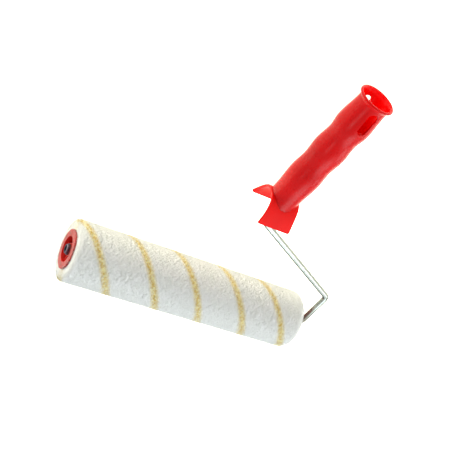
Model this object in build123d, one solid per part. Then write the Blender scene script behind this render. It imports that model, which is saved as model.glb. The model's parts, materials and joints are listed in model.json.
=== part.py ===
from build123d import *
import math
import os

# Paint roller: a pile sleeve that turns on a bent wire frame, with a hollow grip handle.
# It is drawn with the sleeve's axis along X, the handle along +Y and the wire's bends in
# the XY plane, all round the sleeve's middle. At the end it is laid down at rest: pile
# and handle rim both touch the ground, and the origin is below the middle of its box.

# Sleeve
sleeve_length = 250.0          # over the faces of both end caps
pile_radius = 30.0             # over the pile
pile_setback = 1.0             # the pile's backing stops this short of a cap's face
outer_pile_round = 4.5         # rounding of the pile at the axle's end
inner_pile_round = 8.0         # and at the leg's end
core_radius = 18.5             # outside of the tube that carries the pile
core_wall = 1.5

# End cap, the same moulding at both ends
flange_thickness = 2.0
skirt_wall = 1.6
skirt_depth = 12.0             # how far the skirt reaches into the core tube
mouth_radius = 12.2            # open recess round the hub
cup_wall = 1.6
cup_depth = 14.0               # from the cap's face to the recess's floor
cup_floor = 2.0
hub_radius = 6.0
hub_setback = 2.5              # hub's tip below the cap's face
hub_tail = 5.0                 # hub behind the recess's floor
cap_rib_count = 4
cap_rib_thickness = 1.5
cap_rib_setback = 3.2          # rib's edge below the cap's face
cap_rib_turn = 18.0            # degrees from +Y to the first rib
running_clearance = 0.05       # radial, hub on axle

# Wire frame
wire_diameter = 6.0
leg_gap = 12.6                 # from the sleeve's end to the leg's foot, on the axis
corner_gap = 10.2              # from the sleeve's end to the corner of leg and arm
leg_height = 48.0              # from the sleeve's axis to that corner
arm_top = 113.1                # height where the arm turns up into the handle
handle_offset = 10.1           # handle's axis from the sleeve's middle
bend_radius = 7.0              # centre line, at the axle and at the arm's corner
neck_bend_radius = 9.0         # centre line, below the handle
tang_length = 38.0             # wire inside the handle, from the drip guard's ridge
wing_span = 9.6                # flattened wings that stop the wire turning in the handle
wing_thickness = 2.0
wing_length = 10.0
wing_setback = 8.0             # from the tang's end
ear_span = 9.6                 # flattened ears that the inner washer runs against
ear_thickness = 2.4
ear_length = 2.6
wire_end_chamfer = 0.6

# What holds the sleeve on the axle
washer_radius = 5.2
washer_thickness = 0.8
washer_clearance = 0.08        # radial, on the axle
axial_play = 0.2               # between hub, washer and stop
nut_radius = 5.2
nut_flange = 0.6
nut_crown_radius = 4.4
nut_height = 2.4
axle_recess = 1.0              # axle's end below the push nut's crown

# Drip guard, a saddle plate whose ridge runs along X
guard_ridge = 147.4            # ridge's top from the sleeve's axis
guard_drop = 23.4              # from the ridge to the free edges
guard_reach = 20.25            # from the ridge to each free edge, sideways
guard_arch_power = 2.9
guard_waist = 14.5             # half width at the ridge
guard_flare = 3.3              # half width gained at the free edge
guard_flare_power = 6.0
guard_thickness = 2.4
guard_corner = 1.6
guard_edge_round = 0.7
guard_stations = 7             # points along each half of the arch

# Handle, turned about its own axis
handle_rim = 268.2             # rim's plane from the sleeve's axis
rim_radius = 15.8
lip_radius = 1.1
neck_length = 4.4              # from the rim to the narrow neck behind the lip
neck_radius = 13.4
grip_dips = [(43.2, 13.6), (77.2, 13.7)]                  # (below the rim, radius)
grip_swells = [(30.2, 15.1), (60.2, 14.9), (93.2, 14.85)]
grip_foot = [(-13.2, 13.3), (1.6, 13.6)]                  # (above the guard's ridge, radius)
pole_radius = 11.5             # bore for an extension pole
pole_stop = 74.0               # from the rim to the ledge that stops the pole
cell_radius = 10.6             # hollow between the ribs, below that ledge
mouth_flare = 10.0             # length of the widening at the rim
mouth_wall = 1.0               # what the mouth leaves of the lip
handle_floor = 4.0             # solid end above the drip guard's ridge
socket_wall = 2.6
handle_rib_thickness = 1.6
handle_rib_plates = 2          # each runs right across the hollow
rib_bite = 0.6                 # how far a rib runs into the wall that it joins
hang_width = 8.0
hang_length = 21.0
hang_centre = 17.2             # from the rim

# Worked out from the sizes above
wire_radius = wire_diameter / 2
half_sleeve = sleeve_length / 2
core_bore = core_radius - core_wall
leg_x = half_sleeve + leg_gap
corner_x = half_sleeve + corner_gap
lip_centre_radius = rim_radius - lip_radius
lip_station = handle_rim - lip_radius
hub_tip = half_sleeve - hub_setback
outer_washer_face = hub_tip + axial_play
nut_face = outer_washer_face + washer_thickness + axial_play
ear_face = nut_face
axle_end = nut_face + nut_height - axle_recess
tang_end = guard_ridge + tang_length
cavity_floor = guard_ridge + handle_floor
pole_floor = handle_rim - pole_stop
slack = 10.0                   # how far a cutting tool runs past what it cuts


def arch_height(side):
    """Height of the guard's top where it is this far to the side of the ridge."""
    return guard_ridge - guard_drop * (abs(side) / guard_reach) ** guard_arch_power


def arch_slope(side):
    steepness = (abs(side) / guard_reach) ** (guard_arch_power - 1)
    return -math.copysign(guard_drop * guard_arch_power / guard_reach * steepness, side)


def arch_sides():
    """Side distances from one free edge to the other, closer together at the ends."""
    turns = [math.pi / 2 * i / guard_stations for i in range(-guard_stations, guard_stations + 1)]
    return [guard_reach * math.sin(turn) for turn in turns]


def arch_points(depth):
    """Points of the arch, this far below its top surface: (height, side)."""
    points = []
    for side in arch_sides():
        slope = arch_slope(side)
        scale = depth / math.hypot(1, slope)
        points.append((arch_height(side) - scale, side + scale * slope))
    return points


def along_x(profile, half_width):
    """Carry a profile drawn as (Y, Z) along X, as far each way from the handle's axis."""
    plane = Plane(origin=(handle_offset - half_width, 0, 0), x_dir=(0, 1, 0), z_dir=(1, 0, 0))
    return extrude(plane * profile, 2 * half_width)


def turned(profile, axis_plane):
    """Revolve a profile drawn as (radius, along) about its second axis."""
    return revolve(axis_plane * profile, Axis(axis_plane.origin, axis_plane.y_dir))


def about_sleeve():
    """Plane for turned pieces of the sleeve: first axis is the radius, second is +X."""
    return Plane(origin=(0, 0, 0), x_dir=(0, 1, 0), z_dir=(0, 0, -1))


def about_handle():
    """Plane for turned pieces of the handle: first axis is the radius, second is +Y."""
    return Plane(origin=(handle_offset, 0, 0), x_dir=(1, 0, 0), z_dir=(0, 0, 1))


def ring(outer, inner, start, length):
    """Plain ring about the sleeve's axis, from start along +X."""
    profile = Pos((outer + inner) / 2, start + length / 2) * Rectangle(outer - inner, length)
    return turned(profile, about_sleeve())


def core_tube():
    length = sleeve_length - 2 * flange_thickness
    return ring(core_radius, core_bore, -length / 2, length)


def pile_cover():
    length = sleeve_length - 2 * pile_setback
    depth = pile_radius - core_radius
    profile = Pos(core_radius + depth / 2, 0) * Rectangle(depth, length)
    for end, rounding in ((-length / 2, outer_pile_round), (length / 2, inner_pile_round)):
        crown = profile.vertices().sort_by_distance((pile_radius, end))[0]
        profile = fillet(crown, rounding)
    return turned(profile, about_sleeve())


def cap_rib(turn):
    """One rib between the hub and the cup's wall."""
    inner = hub_radius - rib_bite
    outer = mouth_radius + rib_bite
    length = cup_depth - cap_rib_setback + rib_bite
    block = Box(length, outer - inner, cap_rib_thickness)
    seat = Pos(half_sleeve - cap_rib_setback - length / 2, (outer + inner) / 2, 0)
    return Rot(X=turn) * seat * block


def end_cap():
    """The cap at the +X end. Its recess, cup and skirt are rings behind the flange."""
    flange = ring(core_radius, mouth_radius, half_sleeve - flange_thickness, flange_thickness)
    skirt_start = half_sleeve - flange_thickness - skirt_depth
    skirt = ring(core_bore, core_bore - skirt_wall, skirt_start, skirt_depth)
    cup_bottom = half_sleeve - cup_depth - cup_floor
    cup = ring(mouth_radius + cup_wall, mouth_radius, cup_bottom, cup_depth + cup_floor)
    floor = ring(mouth_radius + cup_wall, hub_radius - rib_bite, cup_bottom, cup_floor)
    hub_start = cup_bottom - hub_tail
    bore = wire_radius + running_clearance
    hub = ring(hub_radius, bore, hub_start, hub_tip - hub_start)
    ribs = [cap_rib(cap_rib_turn + 360 * i / cap_rib_count) for i in range(cap_rib_count)]
    return flange + skirt + cup + floor + hub + ribs


def washer(start):
    return ring(washer_radius, wire_radius + washer_clearance, start, washer_thickness)


def push_nut():
    """Crowned spring nut at the +X end, its flange against the washer."""
    outline = Polyline(
        (wire_radius, nut_face),
        (nut_radius, nut_face),
        (nut_radius, nut_face + nut_flange),
        (nut_crown_radius, nut_face + nut_flange),
        (nut_crown_radius, nut_face + nut_height),
        (wire_radius, nut_face + nut_height),
        close=True,
    )
    profile = make_face(outline)
    corners = profile.vertices().sort_by_distance((nut_crown_radius, nut_face + nut_height))
    return turned(fillet(corners[0], nut_flange), about_sleeve())


def at_outer_end(shape):
    """Turn a piece made for the +X end round to the -X end, where the axle ends."""
    return Rot(Y=180) * shape


def frame_path():
    """Centre line of the wire: axle, leg, arm and the tang inside the handle."""
    corners = [
        (-axle_end, 0),
        (leg_x, 0),
        (corner_x, leg_height),
        (handle_offset, arm_top),
        (handle_offset, tang_end),
    ]
    return FilletPolyline(*corners, radius=[bend_radius, bend_radius, neck_bend_radius])


def wire_ears():
    middle = ear_face + ear_length / 2
    return Pos(middle, 0, 0) * Box(ear_length, ear_thickness, ear_span)


def tang_wings():
    middle = tang_end - wing_setback - wing_length / 2
    return Pos(handle_offset, middle, 0) * Box(wing_thickness, wing_length, wing_span)


def wire_frame():
    path = frame_path()
    start = Plane(origin=path @ 0, z_dir=path % 0)
    rod = sweep(start * Circle(wire_radius), path=path)
    ends = rod.edges().filter_by(GeomType.CIRCLE).sort_by(Axis.X)
    tip_edges = [ends[0], rod.edges().filter_by(GeomType.CIRCLE).sort_by(Axis.Y)[-1]]
    return chamfer(tip_edges, wire_end_chamfer) + wire_ears() + tang_wings()


def guard_outline():
    """The guard seen along the handle, as (X, Z): narrow at the ridge, flared sideways.
    It runs past the free edges, which the arch's own section sets."""
    beyond = 1 + guard_thickness / guard_reach
    right = []
    for side in arch_sides():
        flare = guard_flare * abs(beyond * side / guard_reach) ** guard_flare_power
        right.append((guard_waist + flare, beyond * side))
    left = [(-x, side) for x, side in reversed(right)]
    return make_face([
        Spline(*right),
        Line(right[-1], left[0]),
        Spline(*left),
        Line(left[-1], right[0]),
    ])


def guard_prism():
    """The guard's outline carried along the handle's axis, over the guard's height."""
    plane = Plane(origin=(handle_offset, 0, 0), x_dir=(1, 0, 0), z_dir=(0, -1, 0))
    height = guard_drop + guard_thickness + 2 * slack
    prism = extrude(plane * guard_outline(), height)
    return Pos(0, guard_ridge + slack, 0) * prism


def drip_guard():
    top = arch_points(0)
    under = arch_points(guard_thickness)
    section = make_face([
        Spline(*top),
        Line(top[-1], under[-1]),
        Spline(*reversed(under)),
        Line(under[0], top[0]),
    ])
    sheet = along_x(section, guard_waist + guard_flare + slack)
    plate = sheet & guard_prism()
    corners = plate.edges().filter_by(lambda edge: edge.length < 2 * guard_thickness)
    plate = fillet(corners, guard_corner)
    plate = fillet(plate.edges(), guard_edge_round)
    hole = Pos(handle_offset, guard_ridge, 0) * Rot(X=90) * Cylinder(wire_radius, guard_drop)
    return plate - hole


def below_arch():
    """Everything under the guard's top surface, which the handle's foot is cut to."""
    top = arch_points(0)
    bottom = guard_ridge - guard_drop - slack
    section = make_face([
        Spline(*top),
        Polyline(top[-1], (bottom, top[-1][1]), (bottom, top[0][1]), top[0]),
    ])
    return along_x(section, rim_radius + slack)


def grip_outline():
    """Where the grip's radius turns, from its foot up to the neck, as (radius, along)."""
    foot = [(radius, guard_ridge + above) for above, radius in grip_foot]
    grip = sorted(grip_dips + grip_swells + [(neck_length, neck_radius)], reverse=True)
    return foot + [(radius, handle_rim - below) for below, radius in grip]


def handle_body():
    """Outside of the handle, solid, with the rolled lip at its rim."""
    grip = grip_outline()
    foot = grip[0]
    lip_under = (lip_centre_radius, lip_station - lip_radius)
    lip_outer = (rim_radius, lip_station)
    lip_top = (lip_centre_radius, handle_rim)
    profile = make_face([
        Spline(*grip, tangents=[(0, 1)] * len(grip)),
        Line(grip[-1], lip_under),
        ThreePointArc(lip_under, lip_outer, lip_top),
        Polyline(lip_top, (0, handle_rim), (0, foot[1]), foot),
    ])
    return turned(profile, about_handle())


def handle_cavity():
    """The hollow: cells at the foot, then the pole bore, then a mouth that widens."""
    mouth = lip_centre_radius - mouth_wall + lip_radius / 2
    flare_start = handle_rim - mouth_flare
    profile = make_face([
        Polyline((0, cavity_floor), (cell_radius, cavity_floor), (cell_radius, pole_floor)),
        Polyline((cell_radius, pole_floor), (pole_radius, pole_floor), (pole_radius, flare_start)),
        Spline((pole_radius, flare_start), (mouth, handle_rim), tangents=[(0, 1), (1, 1)]),
        Polyline((mouth, handle_rim), (mouth, handle_rim + slack), (0, handle_rim + slack)),
        Line((0, handle_rim + slack), (0, cavity_floor)),
    ])
    return turned(profile, about_handle())


def wire_socket():
    """Tube for the wire's tang, carried on ribs that end level with the pole's ledge."""
    height = pole_floor - cavity_floor
    middle = cavity_floor + height / 2
    outer = wire_radius + socket_wall
    tube = Pos(handle_offset, middle, 0) * Rot(X=90) * Cylinder(outer, height)
    span = 2 * (cell_radius + rib_bite)
    rib = Box(span, height, handle_rib_thickness)
    turn = 180 / handle_rib_plates
    ribs = [Rot(Y=turn * (i + 1 / 2)) * rib for i in range(handle_rib_plates)]
    return tube + [Pos(handle_offset, middle, 0) * each for each in ribs]


def hang_slot():
    plane = Plane(origin=(handle_offset, handle_rim - hang_centre, -rim_radius))
    return extrude(plane * SlotOverall(hang_length, hang_width, rotation=90), 2 * rim_radius)


def handle():
    shell = handle_body() - handle_cavity() + wire_socket()
    tang = Pos(handle_offset, tang_end / 2, 0) * Rot(X=90) * Cylinder(wire_radius, tang_end)
    shell = shell - tang - tang_wings() - below_arch()
    return shell - hang_slot()


def rest_tilt():
    """Angle that lays the handle's lip on the ground that the pile lies on."""
    reach = math.hypot(lip_station, lip_centre_radius)
    fall = pile_radius - lip_radius
    return math.degrees(math.asin(fall / reach) - math.atan2(lip_centre_radius, lip_station))


def assembly():
    """Every piece by name, round the sleeve's middle."""
    return {
        "wire_frame": wire_frame(),
        "handle": handle(),
        "drip_guard": drip_guard(),
        "push_nut": at_outer_end(push_nut()),
        "thrust_washer_outer": at_outer_end(washer(outer_washer_face)),
        "thrust_washer_inner": washer(outer_washer_face),
        "core_tube": core_tube(),
        "pile_cover": pile_cover(),
        "outer_end_cap": at_outer_end(end_cap()),
        "inner_end_cap": end_cap(),
    }


def laid_down(pieces):
    """Lay the roller at rest, with the origin below the middle of its box."""
    tilt = Rot(X=-rest_tilt())
    tilted = {name: tilt * piece for name, piece in pieces.items()}
    box = Compound(list(tilted.values())).bounding_box()
    shift = Pos(-box.center().X, -box.center().Y, -box.min.Z)
    return {name: shift * piece for name, piece in tilted.items()}


os.makedirs("parts", exist_ok=True)
for node, piece in laid_down(assembly()).items():
    export_step(piece, f"parts/{node}.step")
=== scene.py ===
import bpy
import json
import math
import numpy as np
from mathutils import Matrix, Vector


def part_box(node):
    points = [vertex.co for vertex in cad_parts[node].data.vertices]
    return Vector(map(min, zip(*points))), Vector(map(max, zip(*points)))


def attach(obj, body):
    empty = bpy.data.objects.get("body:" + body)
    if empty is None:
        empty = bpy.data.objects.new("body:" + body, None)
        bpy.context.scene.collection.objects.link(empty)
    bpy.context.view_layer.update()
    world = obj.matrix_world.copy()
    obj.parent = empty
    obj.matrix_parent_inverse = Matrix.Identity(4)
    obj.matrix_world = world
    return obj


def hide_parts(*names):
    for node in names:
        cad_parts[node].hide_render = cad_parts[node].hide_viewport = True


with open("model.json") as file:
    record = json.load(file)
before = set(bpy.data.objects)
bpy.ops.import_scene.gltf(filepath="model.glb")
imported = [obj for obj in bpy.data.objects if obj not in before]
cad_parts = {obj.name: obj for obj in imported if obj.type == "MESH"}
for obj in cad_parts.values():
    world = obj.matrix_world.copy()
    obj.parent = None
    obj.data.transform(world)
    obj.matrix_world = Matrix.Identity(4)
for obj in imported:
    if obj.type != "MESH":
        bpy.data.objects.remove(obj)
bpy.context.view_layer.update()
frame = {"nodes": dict(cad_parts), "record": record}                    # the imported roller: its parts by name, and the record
nodes = frame["nodes"]
mm = 0.001
print("roller loaded,", len(nodes), "parts")


def meshPiece(name, points, faceRows, body):
    # faceRows: arrays with 3 or 4 corners in each row
    mesh = bpy.data.meshes.new(name)
    corners = np.concatenate([rows.ravel() for rows in faceRows])
    sizes = np.concatenate([np.full(len(rows), rows.shape[1]) for rows in faceRows])
    mesh.vertices.add(len(points))
    mesh.vertices.foreach_set("co", points.astype(np.float32).ravel())
    mesh.loops.add(len(corners))
    mesh.loops.foreach_set("vertex_index", corners.astype(np.int32))
    mesh.polygons.add(len(sizes))
    mesh.polygons.foreach_set("loop_start", (np.cumsum(sizes) - sizes).astype(np.int32))
    mesh.polygons.foreach_set("use_smooth", np.ones(len(sizes), bool))
    mesh.update(calc_edges=True)
    mesh.validate()
    piece = bpy.data.objects.new(name, mesh)
    bpy.context.scene.collection.objects.link(piece)
    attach(piece, body)
    return piece


def pointValue(piece, name, values):
    layer = piece.data.attributes.new(name, "FLOAT", "POINT")
    layer.data.foreach_set("value", values.astype(np.float32))


def gridRows(nAlong, nAround):
    # quads of a grid that closes on itself both ways, like a ring's skin
    i = np.arange(nAlong)[:, None]
    j = np.arange(nAround)[None, :]
    a = i * nAround + j
    b = ((i + 1) % nAlong) * nAround + j
    c = ((i + 1) % nAlong) * nAround + (j + 1) % nAround
    d = i * nAround + (j + 1) % nAround
    return np.stack([a, b, c, d], -1).reshape(-1, 4)


def smoothStep(low, high, value):
    t = np.clip((value - low) / (high - low), 0, 1)
    return t * t * (3 - 2 * t)


def newMaterial(name):
    mat = bpy.data.materials.new(name)
    mat.use_nodes = True
    tree = mat.node_tree
    shader = tree.nodes["Principled BSDF"]
    return mat, tree, shader


def addNode(tree, kind, **values):
    node = tree.nodes.new(kind)
    for key, value in values.items():
        setattr(node, key, value)
    return node


def objectSpot(tree):
    return addNode(tree, "ShaderNodeTexCoord").outputs["Object"]


def noiseOf(tree, spot, scale, detail=3.0, rough=0.5):
    node = addNode(tree, "ShaderNodeTexNoise")
    node.inputs["Scale"].default_value = scale
    node.inputs["Detail"].default_value = detail
    node.inputs["Roughness"].default_value = rough
    tree.links.new(spot, node.inputs["Vector"])
    return node.outputs["Fac"]


noiseSpan = (0.3, 0.7)               # most values of a noise node lie between these


def rangeOf(tree, value, low, high, toLow, toHigh):
    node = addNode(tree, "ShaderNodeMapRange")
    tree.links.new(value, node.inputs["Value"])
    limits = {"From Min": low, "From Max": high, "To Min": toLow, "To Max": toHigh}
    for key, number in limits.items():
        node.inputs[key].default_value = number
    return node.outputs["Result"]


def mixColour(tree, amount, first, second, blend="MIX"):
    # inputs 6 and 7 and output 2 are the node's colour sockets
    node = addNode(tree, "ShaderNodeMix", data_type="RGBA", blend_type=blend)
    if isinstance(amount, bpy.types.NodeSocket):
        tree.links.new(amount, node.inputs[0])
    else:
        node.inputs[0].default_value = amount
    for socket, value in ((node.inputs[6], first), (node.inputs[7], second)):
        if isinstance(value, bpy.types.NodeSocket):
            tree.links.new(value, socket)
        else:
            socket.default_value = (*value, 1)
    return node.outputs[2]


def bumpOf(tree, height, distance, strength=1.0, before=None):
    node = addNode(tree, "ShaderNodeBump")
    node.inputs["Strength"].default_value = strength
    node.inputs["Distance"].default_value = distance
    tree.links.new(height, node.inputs["Height"])
    if before is not None:
        tree.links.new(before, node.inputs["Normal"])
    return node.outputs["Normal"]


# plastics: two shades of the moulding, roughness from and to, strength of the gloss, glow of thin
# walls that let red light through, size of the shades' clouds, size and depth of the surface
# grain, and the painted light inside a hollow: a brighter, purer red that stands in for light
# through the thin walls
gripPlastic = dict(deep=(0.435, 0.0005, 0.001), pale=(0.545, 0.0012, 0.0016), gloss=(0.24, 0.33),
                   shine=0.14, glow=0.3, cloud=38, grain=2600, dent=0.02 * mm,
                   inside=(0.88, 0.0005, 0.0005))
guardPlastic = dict(deep=(0.58, 0.003, 0.002), pale=(0.68, 0.006, 0.004), gloss=(0.34, 0.44),
                    shine=0.12, glow=0.25, cloud=38, grain=2200, dent=0.025 * mm)
capPlastic = dict(deep=(0.17, 0.012, 0.009), pale=(0.46, 0.012, 0.010), gloss=(0.34, 0.52),
                  shine=0.24, glow=0.15, cloud=330, grain=2400, dent=0.03 * mm,
                  inside=(0.53, 0.014, 0.010))
corePlastic = dict(deep=(0.50, 0.47, 0.40), pale=(0.62, 0.59, 0.52), gloss=(0.55, 0.7),
                   shine=0.4, glow=0.0, cloud=38, grain=1500, dent=0.03 * mm)
# what all of them share: size of the haze on the gloss, a slow wave of the surface, the plastic's
# refraction, how far light goes in it, and how soon a hollow's painted light begins
moulding = dict(haze=120, wave=90, waveDepth=0.2 * mm, waveStrength=0.25, ior=1.49,
                glowRadius=(1.0, 0.08, 0.06), glowDepth=10 * mm, hollowEdge=0.3 * mm)


def fromAxis(tree, spot, point, axis):
    # distance of a spot from a line, which is the length of the cross product of its offset and
    # the axis, and how far along the line it lies, which is their dot product
    offset = addNode(tree, "ShaderNodeVectorMath", operation="SUBTRACT")
    offset.inputs[1].default_value = point
    tree.links.new(spot, offset.inputs[0])
    swept = addNode(tree, "ShaderNodeVectorMath", operation="CROSS_PRODUCT")
    along = addNode(tree, "ShaderNodeVectorMath", operation="DOT_PRODUCT")
    for node in (swept, along):
        node.inputs[1].default_value = axis
        tree.links.new(offset.outputs[0], node.inputs[0])
    away = addNode(tree, "ShaderNodeVectorMath", operation="LENGTH")
    tree.links.new(swept.outputs[0], away.inputs[0])
    return away.outputs["Value"], along.outputs["Value"]


def insideHollow(tree, spot, hollow):
    # 1 inside a round hollow and 0 outside it. Its radius grows between two places along its axis
    away, along = fromAxis(tree, spot, hollow["point"], hollow["axis"])
    radius = rangeOf(tree, along, *hollow["widens"], *hollow["radius"])
    gap = addNode(tree, "ShaderNodeMath", operation="SUBTRACT")
    tree.links.new(away, gap.inputs[0])
    tree.links.new(radius, gap.inputs[1])
    return rangeOf(tree, gap.outputs[0], -moulding["hollowEdge"], moulding["hollowEdge"], 1, 0)


def mouldedPlastic(name, look, hollow=None):
    mat, tree, shader = newMaterial(name)
    spot = objectSpot(tree)
    cloud = noiseOf(tree, spot, look["cloud"], 4)
    colour = mixColour(tree, rangeOf(tree, cloud, *noiseSpan, 0, 1), look["deep"], look["pale"])
    if hollow:                                   # painted light: the hollow's inside is painted a brighter, purer red, for light through the thin walls
        colour = mixColour(tree, insideHollow(tree, spot, hollow), colour, look["inside"])
    tree.links.new(colour, shader.inputs["Base Color"])
    haze = noiseOf(tree, spot, moulding["haze"], 5, 0.6)
    tree.links.new(rangeOf(tree, haze, *noiseSpan, *look["gloss"]), shader.inputs["Roughness"])
    grain = noiseOf(tree, spot, look["grain"], 2)
    ripple = noiseOf(tree, spot, moulding["wave"], 2)
    wave = bumpOf(tree, ripple, moulding["waveDepth"], moulding["waveStrength"])
    tree.links.new(bumpOf(tree, grain, look["dent"], 1.0, wave), shader.inputs["Normal"])
    shader.inputs["IOR"].default_value = moulding["ior"]
    shader.inputs["Specular IOR Level"].default_value = look["shine"]
    shader.inputs["Subsurface Weight"].default_value = look["glow"]
    shader.inputs["Subsurface Radius"].default_value = moulding["glowRadius"]
    shader.inputs["Subsurface Scale"].default_value = moulding["glowDepth"]
    return mat


# metals: bright and dull plating, roughness from and to, and the dark tint of their edges
platedSteel = dict(bright=(0.38, 0.40, 0.37), dull=(0.25, 0.27, 0.24), gloss=(0.20, 0.32),
                   edge=(0.10, 0.11, 0.10))
springSteel = dict(bright=(0.27, 0.25, 0.30), dull=(0.12, 0.11, 0.14), gloss=(0.26, 0.42),
                   edge=(0.2, 0.2, 0.2))
washerSteel = dict(bright=(0.56, 0.55, 0.52), dull=(0.40, 0.39, 0.37), gloss=(0.30, 0.45),
                   edge=(0.4, 0.4, 0.4))
# what all of them share: size of the dull bloom, and size and depth of the pits. Then the wire's
# painted shade near the axle, dark brown and less metallic, its bare end face, painted near black
# partly for the shade of the push nut's hole, and where each begins and ends
plating = dict(bloom=160, bloomSpan=(0.35, 0.7), pits=3000, pitDepth=0.01 * mm)
wireShadeAndBareEnd = dict(paintedShade=(0.16, 0.15, 0.115), metal=0.3, fades=(12 * mm, 38 * mm),
                bareEndAndShade=(0.012, 0.011, 0.012), endFace=(1.2 * mm, 1.6 * mm))


def platedMetal(name, look):
    mat, tree, shader = newMaterial(name)
    spot = objectSpot(tree)
    bloom = noiseOf(tree, spot, plating["bloom"], 5, 0.6)
    dulled = rangeOf(tree, bloom, *plating["bloomSpan"], 0, 1)
    colour = mixColour(tree, dulled, look["bright"], look["dull"])
    tree.links.new(colour, shader.inputs["Base Color"])
    tree.links.new(rangeOf(tree, bloom, *noiseSpan, *look["gloss"]), shader.inputs["Roughness"])
    pits = noiseOf(tree, spot, plating["pits"], 2)
    tree.links.new(bumpOf(tree, pits, plating["pitDepth"]), shader.inputs["Normal"])
    shader.inputs["Metallic"].default_value = 1.0
    shader.inputs["Specular Tint"].default_value = (*look["edge"], 1)
    return mat, tree, shader, colour


def wireMetal():
    # painted shade: the plating is painted dark brown and less metallic towards the axle, for the
    # shade near the roller. The axle's cut end is bare steel, painted near black, partly for the
    # shade in the push nut's hole
    mat, tree, shader, colour = platedMetal("bright_zinc", platedSteel)
    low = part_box("wire_frame")[0]
    split = addNode(tree, "ShaderNodeSeparateXYZ")
    tree.links.new(objectSpot(tree), split.inputs[0])
    across, along = split.outputs["X"], split.outputs["Y"]
    start, end = wireShadeAndBareEnd["fades"]
    nearAxle = rangeOf(tree, along, low.y + start, low.y + end, 1, 0)
    # painted shade: dark brown plating near the axle, for the shade by the roller
    paintedShadeColour = mixColour(tree, nearAxle, colour, wireShadeAndBareEnd["paintedShade"])
    tree.links.new(rangeOf(tree, nearAxle, 0, 1, 1, wireShadeAndBareEnd["metal"]), shader.inputs["Metallic"])
    start, end = wireShadeAndBareEnd["endFace"]
    # the bare cut end: unplated steel, painted near black partly for the shade of the nut's hole
    bareEndAndShade = rangeOf(tree, across, low.x + start, low.x + end, 1, 0)
    tree.links.new(mixColour(tree, bareEndAndShade, paintedShadeColour, wireShadeAndBareEnd["bareEndAndShade"]), shader.inputs["Base Color"])
    return mat


def dress(node, mat):
    cadPart = nodes[node]
    cadPart.data.materials.clear()
    cadPart.data.materials.append(mat)


# the grip's hollow is the pole's bore, and its mouth widens up to the rim
poleBore = next(mount for mount in frame["record"]["mounts"] if mount["name"] == "pole_socket")
mouthLength, widening = 10 * mm, 6 * mm
rim = poleBore["dims"]["length_mm"] / 2 * mm + mouthLength
gripHollow = dict(point=poleBore["pos_m"], axis=poleBore["axis"], widens=(rim - widening, rim),
                  radius=(12.5 * mm, 14.5 * mm))
capLow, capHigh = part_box("outer_end_cap")
capHollow = dict(point=(capLow + capHigh) / 2, axis=(1, 0, 0), widens=(0, 1),
                 radius=(12.5 * mm, 12.5 * mm))
dress("handle", mouldedPlastic("grip_red", gripPlastic, gripHollow))
dress("drip_guard", mouldedPlastic("guard_red", guardPlastic))
capRed = mouldedPlastic("cap_red", capPlastic, capHollow)
dress("outer_end_cap", capRed)
dress("inner_end_cap", capRed)
dress("core_tube", mouldedPlastic("core_grey", corePlastic))
dress("wire_frame", wireMetal())
dress("push_nut", platedMetal("spring_steel", springSteel)[0])
washerMetal = platedMetal("washer_steel", washerSteel)[0]
dress("thrust_washer_outer", washerMetal)
dress("thrust_washer_inner", washerMetal)
print("plastic and metal parts dressed")


pileLow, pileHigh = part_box("pile_cover")
coreLow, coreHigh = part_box("core_tube")
sleeve = dict(
    left=pileLow.x, right=pileHigh.x,
    axisY=(pileLow.y + pileHigh.y) / 2, axisZ=(pileLow.z + pileHigh.z) / 2,
    outer=(pileHigh.z - pileLow.z) / 2, core=(coreHigh.z - coreLow.z) / 2,
    roundLeft=4.5 * mm, roundRight=8.0 * mm,
)
# yarn bands: a full turn's length, how many start side by side, where they pass the middle of the
# sleeve, full width and faded width each side, and how the winding wanders
band = dict(lead=97.1 * mm, starts=2, offset=-111.6 * mm, heart=0.3 * mm, fringe=6.3 * mm,
            turn=math.radians(3.05), wander=1.5 * mm, wanderFrom=math.radians(8), apart=0.8 * mm)


def bandMask(x, angle):
    # how far a spot is from the nearest yarn band. The bands are helices, so the distance along
    # the sleeve is x less lead times turn, wrapped to half a spacing each way. The winding wanders
    # twice a turn, and the two yarns lie a little nearer on one side than on the other
    middle = (sleeve["left"] + sleeve["right"]) / 2
    spacing = band["lead"] / band["starts"]
    turn = angle + band["turn"]
    wander = -band["wander"] * np.cos(2 * (turn - band["wanderFrom"]))
    along = x - middle - band["offset"] - band["lead"] * turn / (2 * np.pi) - wander
    count = np.round(along / spacing)
    side = np.where(count % 2 == 0, -band["apart"], band["apart"])
    away = np.abs(along - count * spacing - side)
    return 1 - smoothStep(band["heart"], band["fringe"], away)


def outlineOf(n):
    # outline of the pile from the core's edge at the left end, over the top, to the core's edge
    # at the right end, evenly spaced along its length: x, radius and the outward normal
    faceSteps, arcSteps, sideSteps = 20, 24, 200
    left, right = sleeve["left"], sleeve["right"]
    core, outer = sleeve["core"], sleeve["outer"]
    rl, rr = sleeve["roundLeft"], sleeve["roundRight"]
    quarter = np.linspace(0, np.pi / 2, arcSteps)
    faceL = np.linspace(core, outer - rl, faceSteps)[:-1]
    faceR = np.linspace(outer - rr, core, faceSteps)[1:]
    side = np.linspace(left + rl, right - rr, sideSteps)[1:-1]
    xs = np.concatenate([
        np.full(len(faceL), left), left + rl - rl * np.cos(quarter), side,
        right - rr + rr * np.sin(quarter), np.full(len(faceR), right),
    ])
    rs = np.concatenate([
        faceL, outer - rl + rl * np.sin(quarter), np.full(len(side), outer),
        outer - rr + rr * np.cos(quarter), faceR,
    ])
    reach = np.concatenate([[0], np.cumsum(np.hypot(np.diff(xs), np.diff(rs)))])
    at = np.linspace(0, reach[-1], n)
    x, r = np.interp(at, reach, xs), np.interp(at, reach, rs)
    nx, nr = -np.gradient(r), np.gradient(x)
    size = np.hypot(nx, nr)
    return x, r, nx / size, nr / size


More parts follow.
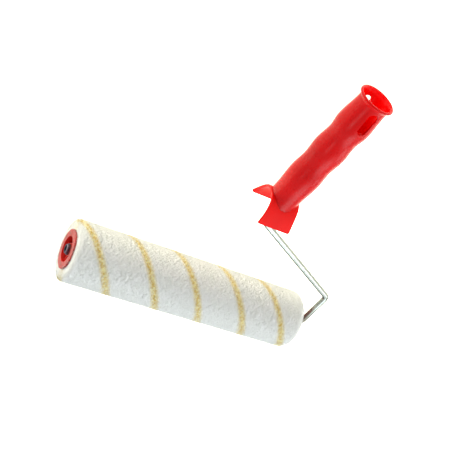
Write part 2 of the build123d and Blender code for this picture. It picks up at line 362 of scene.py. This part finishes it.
def around(x, r, angle):
    # a spot of the sleeve from its place along the axis, its radius and its angle about the axis
    y = sleeve["axisY"] + r * np.cos(angle)
    z = sleeve["axisZ"] + r * np.sin(angle)
    return np.stack([x, y, z], -1)


def waves(rng, x, angle, count, fine):
    # sum of travelling waves that close round the sleeve
    total = np.zeros(np.broadcast(x, angle).shape)
    for _ in range(count):
        turns = rng.integers(-fine, fine + 1)
        pitch = rng.uniform(0.25, 1) * fine / sleeve["outer"]
        total += np.sin(turns * angle + pitch * x + rng.uniform(0, 2 * np.pi))
    return total / math.sqrt(count)


def topShare(normalR):
    # 1 on the sleeve's side, fading to 0 on its end faces
    return np.clip(1.4 * normalR, 0, 1)


# pile: its white and grey, the yarn's two shades, and the painted shadow colour that deep spots are
# multiplied by
yarns = dict(white=(0.99, 0.99, 0.985), grey=(0.93, 0.94, 0.91), clouds=130,
             ochre=(0.74, 0.49, 0.035), straw=(1.0, 0.89, 0.40), blots=420, blotSpan=(0.42, 0.58),
             shadow=(0.66, 0.66, 0.64), lint=900, gloss=(0.8, 0.95),
             sheen=0.3, sheenRough=0.5, shine=0.2)


def pileMaterial():
    mat, tree, shader = newMaterial("white_pile")
    spot = objectSpot(tree)
    yarn = addNode(tree, "ShaderNodeAttribute", attribute_name="yarn").outputs["Fac"]
    shade = addNode(tree, "ShaderNodeAttribute", attribute_name="shade").outputs["Fac"]
    cloud = rangeOf(tree, noiseOf(tree, spot, yarns["clouds"], 4, 0.6), *noiseSpan, 0, 1)
    white = mixColour(tree, cloud, yarns["white"], yarns["grey"])
    blot = rangeOf(tree, noiseOf(tree, spot, yarns["blots"], 4, 0.6), *yarns["blotSpan"], 0, 1)
    ochre = mixColour(tree, blot, yarns["straw"], yarns["ochre"])
    dyed = mixColour(tree, yarn, white, ochre)
    # painted shade: where the shade attribute is low, the colour is multiplied towards the shadow
    # grey
    tone = mixColour(tree, shade, yarns["shadow"], (1, 1, 1))
    tree.links.new(mixColour(tree, 1.0, dyed, tone, "MULTIPLY"), shader.inputs["Base Color"])
    lint = noiseOf(tree, spot, yarns["lint"], 3)
    tree.links.new(rangeOf(tree, lint, *noiseSpan, *yarns["gloss"]), shader.inputs["Roughness"])
    shader.inputs["Sheen Weight"].default_value = yarns["sheen"]
    shader.inputs["Sheen Roughness"].default_value = yarns["sheenRough"]
    shader.inputs["Specular IOR Level"].default_value = yarns["shine"]
    return mat


pileLook = pileMaterial()

# closed body under the fibres: how deep it lies on the side and how much less on the end faces, how
# many waves ripple it, how much yarn shows on its ends and how much more on its side, and its
# painted shade, darker than the fibres, for the shade beneath them
skin = dict(along=330, round=260, under=12, seed=4, sink=1.5 * mm, lift=0.8 * mm,
            ripple=0.15 * mm, waves=(40, 60), yarn=(0.25, 0.6), shade=0.6)


def pileSkin():
    # closed ring: the outline sunk below the nap's tips, then back along the core
    rng = np.random.default_rng(skin["seed"])
    x, r, nx, nr = outlineOf(skin["along"])
    sink = skin["sink"] - skin["lift"] * np.abs(nx)
    x, r = x - sink * nx, r - sink * nr
    r = np.maximum(r, sleeve["core"])
    back = np.linspace(x[-1], x[0], skin["under"] + 2)[1:-1]
    x = np.concatenate([x, back])
    r = np.concatenate([r, np.full(len(back), sleeve["core"])])
    loose = np.concatenate([np.ones(skin["along"]), np.zeros(len(back))])
    angle = np.arange(skin["round"]) / skin["round"] * 2 * np.pi
    xx, aa = np.meshgrid(x, angle, indexing="ij")
    ripple = waves(rng, xx, aa, *skin["waves"]) * skin["ripple"] * loose[:, None]
    points = around(xx, r[:, None] + ripple, aa)
    faces = gridRows(len(x), skin["round"])[:, ::-1]
    piece = meshPiece("pile_skin", points.reshape(-1, 3), [faces], "roller")
    facing = np.concatenate([topShare(nr), np.zeros(len(back))])
    onEnds, onSide = skin["yarn"]
    pointValue(piece, "yarn", (bandMask(xx, aa) * (onEnds + onSide * facing[:, None])).ravel())
    # painted shade: the skin is darker all over, for the shade beneath the fibres
    pointValue(piece, "shade", np.full(xx.size, skin["shade"]))
    piece.data.materials.append(pileLook)
    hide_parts("pile_cover")


# fibres: their size, how they lean alone (lean) and in tufts (sweep), how uneven their tips are,
# how far they splay over the ends and are brushed outwards near them, and the strays. Each pair
# of waves is their count and the finest of them
nap = dict(
    fibres=250000, pieces=10, seed=11, outline=2400, goldenAngle=2.399963, jitter=0.02,
    length=2.3 * mm, lengths=(0.86, 1.06), thick=0.15 * mm, thicks=(0.75, 1.25), clear=0.1 * mm,
    lean=0.36 * mm, sweep=0.25 * mm, sweepWaves=(40, 75), endLean=0.4, sag=2.5,
    uneven=0.14 * mm, tips=(-0.6, 0.8), tipWaves=(60, 70), tipWave=1.4,
    splay=0.75, endRise=(0.15, 0.65), brushed=22 * mm, brushOut=1.1 * mm,
    fuzz=0.045, stray=(0.2 * mm, 0.8 * mm),
)
# fibres next to the end caps: some lie over the cap's rim
capFringe = dict(width=1.8 * mm, share=0.6, out=(1.0 * mm, 1.6 * mm), over=(-0.5 * mm, 1.9 * mm))
# colour of the fibres: blurred edge of the bands, how much yarn is on the ends and how much more on
# the side, how patchy it is, a random shade for each fibre, and the painted shade of the tufts and
# of the roots, darker where the fibres shade each other
dyeAndShade = dict(blur=0.5 * mm, yarn=(0.25, 0.75), patchy=0.9, patchWaves=(50, 100), strength=(0.7, 1.0),
           shade=(0.45, 1.0), tufts=(0.40, 0.60), tuftWaves=(60, 110), root=0.35)


def fibreRoots(rng):
    # where each fibre stands: roots lie on a golden-angle spread over the outline, so that they
    # cover it evenly
    n = nap["fibres"]
    x, r, nx, nr = outlineOf(nap["outline"])
    share = np.cumsum(r)
    share = (share - share[0]) / (share[-1] - share[0])
    place = (np.arange(n) + rng.uniform(0, 1, n)) / n
    x, r, nx, nr = (np.interp(place, share, row) for row in (x, r, nx, nr))
    angle = (np.arange(n) * nap["goldenAngle"] + rng.normal(0, nap["jitter"], n)) % (2 * np.pi)
    return x, r, nx, nr, angle


def fibreSpines(rng, x, r, nx, nr, angle):
    # root and tip of each fibre. It grows along the outline's normal, laid back on the end faces,
    # and its tip ends near the outline, moved by its lean round and along the sleeve
    n = nap["fibres"]
    growX = nx * nap["splay"]
    rim = np.clip((r - sleeve["core"]) / (sleeve["outer"] - sleeve["core"]), 0, 1)
    rise = nap["endRise"][0] + nap["endRise"][1] * rim
    growR = np.maximum(nr, 0) + (1 - np.abs(nr)) * rise
    size = np.hypot(growX, growR)
    growX, growR = growX / size, growR / size
    sweepA = nap["sweep"] * waves(rng, x, angle, *nap["sweepWaves"])
    leanA = sweepA + nap["lean"] * rng.normal(0, 1, n)
    sweepX = nap["sweep"] * waves(rng, x, angle, *nap["sweepWaves"])
    leanX = sweepX + nap["lean"] * rng.normal(0, 1, n)
    leanX = np.where(np.abs(nx) > 0.3, leanX * nap["endLean"], leanX)
    nearLeft = np.clip(1 - (x - sleeve["left"]) / nap["brushed"], 0, 1)
    nearRight = np.clip(1 - (sleeve["right"] - x) / nap["brushed"], 0, 1)
    leanX += nap["brushOut"] * (nearRight ** 2 - nearLeft ** 2) * np.clip(nr, 0, 1)
    height = nap["length"] * rng.uniform(*nap["lengths"], n)
    slip = rng.normal(*nap["tips"], n)
    slip = nap["uneven"] * (slip + nap["tipWave"] * waves(rng, x, angle, *nap["tipWaves"]))
    stray = rng.uniform(0, 1, n) < nap["fuzz"]
    slip = np.where(stray, slip + rng.uniform(*nap["stray"], n), slip)
    rootX = x - growX * height
    rootR = np.maximum(r - growR * height, sleeve["core"] + nap["clear"])
    tipX = x + growX * slip + leanX
    tipR = r + growR * slip - (leanA ** 2 + leanX ** 2) / (nap["sag"] * nap["length"])
    atCap = (np.abs(nx) > 0.9) & (r < sleeve["core"] + capFringe["width"])
    atCap &= rng.uniform(0, 1, n) < capFringe["share"]
    tipX = np.where(atCap, x + np.sign(nx) * rng.uniform(*capFringe["out"], n), tipX)
    tipR = np.where(atCap, sleeve["core"] - rng.uniform(*capFringe["over"], n), tipR)
    return around(rootX, rootR, angle), around(tipX, tipR, angle + leanA / r)


def fibreSpikes(rng, root, tip):
    # each fibre is a straight spike: three corners round its root, square to its axis, and its tip
    axis = tip - root
    axis /= np.linalg.norm(axis, axis=1, keepdims=True)
    sideA = np.cross(axis, np.array([1.0, 0.12, 0.07]))      # a line that no fibre lies along
    sideA /= np.linalg.norm(sideA, axis=1, keepdims=True)
    sideB = np.cross(axis, sideA)
    twist = rng.uniform(0, 2 * np.pi, len(root))
    thick = nap["thick"] * rng.uniform(*nap["thicks"], len(root))
    turns = twist[:, None] + np.arange(3) * 2 * np.pi / 3                # fibre, corner
    across = np.cos(turns)[..., None] * sideA[:, None] + np.sin(turns)[..., None] * sideB[:, None]
    corners = root[:, None] + across * thick[:, None, None]
    return np.concatenate([corners, tip[:, None]], 1)                    # fibre, corner, xyz


def fibreColours(rng, x, nr, angle):
    # share of yarn in each fibre, patchy along the bands, and its shade: random, with painted shade
    # darker for fibres deeper in the tufts
    n = nap["fibres"]
    onEnds, onSide = dyeAndShade["yarn"]
    mask = bandMask(x + rng.normal(0, dyeAndShade["blur"], n), angle) * (onEnds + onSide * topShare(nr))
    patches = np.clip(waves(rng, x, angle, *dyeAndShade["patchWaves"]), -1, 1)
    patchy = 1.0 + dyeAndShade["patchy"] * patches
    yarn = (rng.uniform(0, 1, n) < mask * patchy) * rng.uniform(*dyeAndShade["strength"], n)
    # painted shade: fibres in the troughs of the tuft waves are darker, as if shaded by their
    # neighbours
    tufts = np.clip(0.5 + 0.5 * waves(rng, x, angle, *dyeAndShade["tuftWaves"]), 0, 1)
    low, gain = dyeAndShade["tufts"]
    shade = rng.uniform(*dyeAndShade["shade"], n) * (low + gain * tufts)
    return yarn, shade


def fibreMap(piece, count):
    # one small square of the map for each fibre: its three sides fan round the tip in one
    # half of the square, and its root face has the other half
    grid = int(np.ceil(np.sqrt(count)))
    cell = np.arange(count)
    corner = np.stack([cell % grid, cell // grid], -1)[:, None, :]
    b0, b1, b2, tip = (0.06, 0.06), (0.90, 0.06), (0.06, 0.90), (0.33, 0.33)
    fan = [b0, b1, tip, b1, b2, tip, b2, b0, tip, (0.94, 0.94), (0.94, 0.26), (0.26, 0.94)]
    spots = (corner + np.array(fan)[None]) / grid
    layer = piece.data.uv_layers.new(name="OFBake")
    layer.data.foreach_set("uv", spots.astype(np.float32).ravel())


def napFibres():
    rng = np.random.default_rng(nap["seed"])
    x, r, nx, nr, angle = fibreRoots(rng)
    root, tip = fibreSpines(rng, x, r, nx, nr, angle)
    points = fibreSpikes(rng, root, tip)
    yarn, shade = fibreColours(rng, x, nr, angle)
    sides = np.array([[0, 1, 3], [1, 2, 3], [2, 0, 3], [0, 2, 1]])
    # painted shade: each fibre darkens towards its root, where the fibres shade each other
    rootToTip = np.array([dyeAndShade["root"]] * 3 + [1.0])
    for k, pick in enumerate(np.array_split(np.argsort(x, kind="stable"), nap["pieces"])):
        rows = ((np.arange(len(pick)) * 4)[:, None, None] + sides[None]).reshape(-1, 3)
        piece = meshPiece(f"pile_nap_{k + 1}", points[pick].reshape(-1, 3), [rows], "roller")
        pointValue(piece, "yarn", np.repeat(yarn[pick], 4))
        pointValue(piece, "shade", (shade[pick][:, None] * rootToTip).ravel())
        fibreMap(piece, len(pick))
        piece.data.materials.append(pileLook)


pileSkin()
napFibres()
print("pile made,", nap["fibres"], "fibres")


# a translucent table lit from below, and a white tent that has an opening
studio = dict(
    floorSize=12.0, floorTone=(0.74, 0.72, 0.66), floorCloud=0.985, floorRough=0.9, floorShine=0.1,
    floorGlow=(1.0, 0.96, 0.78), floorPower=1.2,
    panelPower=2.35, panelGap=34 * mm, panelFades=(20 * mm, 85 * mm),
    sky=(0.95, 0.985, 1.0), skyFull=1.25, skyLow=0.56, skyBack=0.65,
    opening=(-0.463, 0.622, 0.631), frontFades=(0.1, 0.95), backFades=(-0.9, 0.0),
)
softboxes = [
    dict(name="right_softbox", place=(0.96, 0.0, 0.72), size=0.8, power=6,
         tint=(1.0, 0.99, 0.98)),
    dict(name="left_softbox", place=(-0.80, -0.11, 0.89), size=0.25, power=1.2,
         tint=(1.0, 0.99, 0.97)),
    dict(name="overhead_softbox", place=(0.40, -0.72, 1.0), size=0.9, power=7.2,
         tint=(0.84, 0.97, 1.0)),
]
camera = dict(lens=64.88, sensor=36, distance=0.70836, aim=(-0.02747, -0.02177, 0.03131),
              azimuth=143.349, elevation=39.140, roll=-175.099, clip=10 * mm)


def paleFloor():
    # it is lit from below, so that shadows on it stay faint
    half = studio["floorSize"] / 2
    points = [(-half, -half, 0), (half, -half, 0), (half, half, 0), (-half, half, 0)]
    mesh = bpy.data.meshes.new("floor")
    mesh.from_pydata(points, [], [(0, 1, 2, 3)])
    floor = bpy.data.objects.new("floor", mesh)
    bpy.context.scene.collection.objects.link(floor)
    mat, tree, shader = newMaterial("pale_table")
    spot = objectSpot(tree)
    tone = studio["floorTone"]
    cloudTone = tuple(studio["floorCloud"] * c for c in tone)
    cloud = noiseOf(tree, spot, 3, 2)
    tree.links.new(mixColour(tree, cloud, tone, cloudTone), shader.inputs["Base Color"])
    shader.inputs["Roughness"].default_value = studio["floorRough"]
    shader.inputs["Specular IOR Level"].default_value = studio["floorShine"]
    shader.inputs["Emission Color"].default_value = (*studio["floorGlow"], 1)
    # the lamp under the table is a strip along the roller's front, and fades to both sides of it
    strip = (pileLow.x, pileHigh.y + studio["panelGap"], 0)
    away = fromAxis(tree, spot, strip, (1, 0, 0))[0]
    lamp = rangeOf(tree, away, *studio["panelFades"], studio["panelPower"], studio["floorPower"])
    tree.links.new(lamp, shader.inputs["Emission Strength"])
    mesh.materials.append(mat)


def softLight(box):
    # a round area light that faces the scene's origin
    data = bpy.data.lights.new(box["name"], "AREA")
    data.shape = "DISK"
    data.size = box["size"]
    data.energy = box["power"]
    data.color = box["tint"]
    light = bpy.data.objects.new(box["name"], data)
    light.location = box["place"]
    light.rotation_euler = (-Vector(box["place"])).to_track_quat("-Z", "Y").to_euler()
    bpy.context.scene.collection.objects.link(light)


def sky():
    # a white tent: brightest all round its sides, dimmer at its opening and behind the roller.
    # What the lens sees past the table is plain white
    world = bpy.data.worlds.new("studio_tent")
    world.use_nodes = True
    tree = world.node_tree
    tent = tree.nodes["Background"]
    tent.inputs["Color"].default_value = (*studio["sky"], 1)
    way = addNode(tree, "ShaderNodeTexCoord").outputs["Generated"]
    dot = addNode(tree, "ShaderNodeVectorMath", operation="DOT_PRODUCT")
    dot.inputs[1].default_value = studio["opening"]
    tree.links.new(way, dot.inputs[0])
    towards = dot.outputs["Value"]               # 1 at the opening, -1 straight behind
    front = rangeOf(tree, towards, *studio["frontFades"], studio["skyFull"], studio["skyLow"])
    backShare = studio["skyBack"] / studio["skyFull"]
    back = rangeOf(tree, towards, *studio["backFades"], backShare, 1.0)
    power = addNode(tree, "ShaderNodeMath", operation="MULTIPLY")
    tree.links.new(front, power.inputs[0])
    tree.links.new(back, power.inputs[1])
    tree.links.new(power.outputs[0], tent.inputs["Strength"])
    plain = addNode(tree, "ShaderNodeBackground")
    plain.inputs["Color"].default_value = (1, 1, 1, 1)
    either = addNode(tree, "ShaderNodeMixShader")
    seen = addNode(tree, "ShaderNodeLightPath").outputs["Is Camera Ray"]
    tree.links.new(seen, either.inputs[0])
    tree.links.new(tent.outputs[0], either.inputs[1])
    tree.links.new(plain.outputs[0], either.inputs[2])
    tree.links.new(either.outputs[0], tree.nodes["World Output"].inputs["Surface"])
    bpy.context.scene.world = world


def placeCamera():
    # looks along azimuth from +Y towards +X, down by elevation, turned about its own view line
    azimuth, elevation = math.radians(camera["azimuth"]), math.radians(camera["elevation"])
    roll = math.radians(camera["roll"])
    ahead = Vector((
        math.sin(azimuth) * math.cos(elevation),
        math.cos(azimuth) * math.cos(elevation),
        -math.sin(elevation),
    ))
    right = ahead.cross(Vector((0, 0, 1))).normalized()
    up = right.cross(ahead)
    rolledUp = up * math.cos(roll) + right * math.sin(roll)
    rolledRight = ahead.cross(rolledUp)
    data = bpy.data.cameras.new("camera")
    data.lens = camera["lens"]
    data.sensor_width = camera["sensor"]
    data.clip_start = camera["clip"]
    view = bpy.data.objects.new("camera", data)
    stand = Vector(camera["aim"]) - camera["distance"] * ahead
    turn = Matrix((rolledRight, rolledUp, -ahead)).transposed().to_4x4()
    view.matrix_world = Matrix.Translation(stand) @ turn
    bpy.context.scene.collection.objects.link(view)
    bpy.context.scene.camera = view


paleFloor()
sky()
for box in softboxes:
    softLight(box)
placeCamera()
bpy.context.scene.view_settings.view_transform = "Standard"
print("studio ready")
